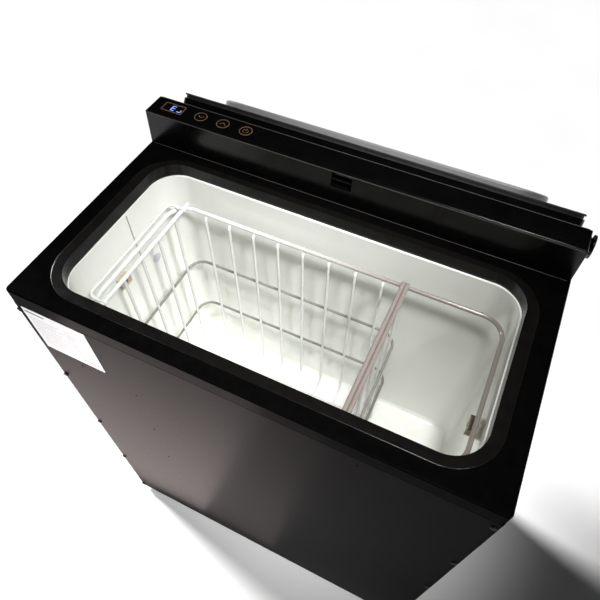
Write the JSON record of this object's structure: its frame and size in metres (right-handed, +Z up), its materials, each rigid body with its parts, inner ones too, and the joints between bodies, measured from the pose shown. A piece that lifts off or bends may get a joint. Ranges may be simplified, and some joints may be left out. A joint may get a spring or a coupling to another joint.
{
  "type": "portable top-opening freezer",
  "caption": "Compact top-opening freezer on a tall narrow cabinet, with a thrown-back insulated lid, rear control console and a lift-out wire basket.",
  "frame": {"origin": "on the floor under the middle of the cabinet's footprint (the thrown-back lid is left out of the footprint)", "axes": "+Z up, +Y towards the back where the console and lid hinge are, +X to the right of someone facing the front"},
  "size_m": [0.5061, 0.5023, 0.6528],
  "materials": {
    "black_enamel": "satin black coated steel",
    "galvanised": "plain galvanised sheet",
    "black_abs": "near-black satin plastic",
    "white_liner": "glossy white",
    "grey_liner": "pale grey moulding",
    "foam": "rigid foam",
    "white_wire": "white plastic-coated wire",
    "rubber": "black rubber",
    "aluminium": "mill finish",
    "copper": "bare copper tube",
    "can_black": "black painted can",
    "board_green": "circuit board",
    "display_glass": "smoked window",
    "bronze_print": "bronze print",
    "label_white": "blank white label",
    "beige": "beige clip",
    "screw_steel": "dark plated screws"
  },
  "bodies": {
    "cabinet": {"cabinet_shell": "black_enamel", "back_panel": "galvanised", "rear_vent_cover": "galvanised", "base_pan": "galvanised", "base_skid": "rubber", "machine_deck": "galvanised", "inner_liner": "white_liner", "evaporator_jacket": "aluminium", "insulation_foam": "foam", "liner_plug": "white_liner", "liner_clip_left": "beige", "liner_clip_right": "beige", "sensor_lead": "black_abs", "compressor": "can_black", "compressor_grommets": "rubber", "condenser_coil": "aluminium", "fan_shroud": "black_abs", "fan_motor": "can_black", "filter_drier": "copper", "power_module": "aluminium", "discharge_pipe": "copper", "suction_pipe": "copper", "dc_inlet_socket": "black_abs", "fuse_holder": "black_abs", "top_frame": "black_abs", "opening_collar": "black_abs", "console_housing": "black_abs", "console_overlay": "black_abs", "display_window": "display_glass", "display_module": "black_abs", "control_board": "board_green", "display_bezel": "bronze_print", "touch_icon_rings": "bronze_print", "catch_bar": "black_abs", "hinge_pin_left": "screw_steel", "hinge_pin_right": "screw_steel", "lid_stop_left": "rubber", "lid_stop_right": "rubber", "blank_label": "label_white", "front_screws": "screw_steel", "back_screws": "screw_steel"},
    "lid": {"lid_shell": "black_abs", "lid_inner_tray": "grey_liner", "lid_foam": "foam", "lid_gasket": "rubber", "hinge_arm_left": "screw_steel", "hinge_arm_right": "screw_steel"},
    "basket": {"basket_rim": "white_wire", "basket_cross_wires": "white_wire", "basket_upright_wires": "white_wire", "basket_long_wires": "white_wire", "basket_hoops": "white_wire"},
    "handle": {"basket_handle": "white_wire"},
    "fan": {"fan_impeller": "black_abs"}
  },
  "joints": [
    {"name": "lid_hinge", "type": "hinge", "parent": "cabinet", "child": "lid", "pos_m": [0, 0.1338, 0.639], "axis": [1, 0, 0], "range_deg": [0, 221]},
    {"name": "basket_lift", "type": "slide", "parent": "cabinet", "child": "basket", "axis": [0, 0, 1], "range_m": [0, 0.4]},
    {"name": "handle_swing", "type": "hinge", "parent": "basket", "child": "handle", "pos_m": [-0.185, 0, 0.5612], "axis": [0, 1, 0], "range_deg": [0, 165]},
    {"name": "fan_spin", "type": "hinge", "parent": "cabinet", "child": "fan", "pos_m": [0.13, -0.005, 0.1], "axis": [1, 0, 0], "continuous": true}
  ]
}
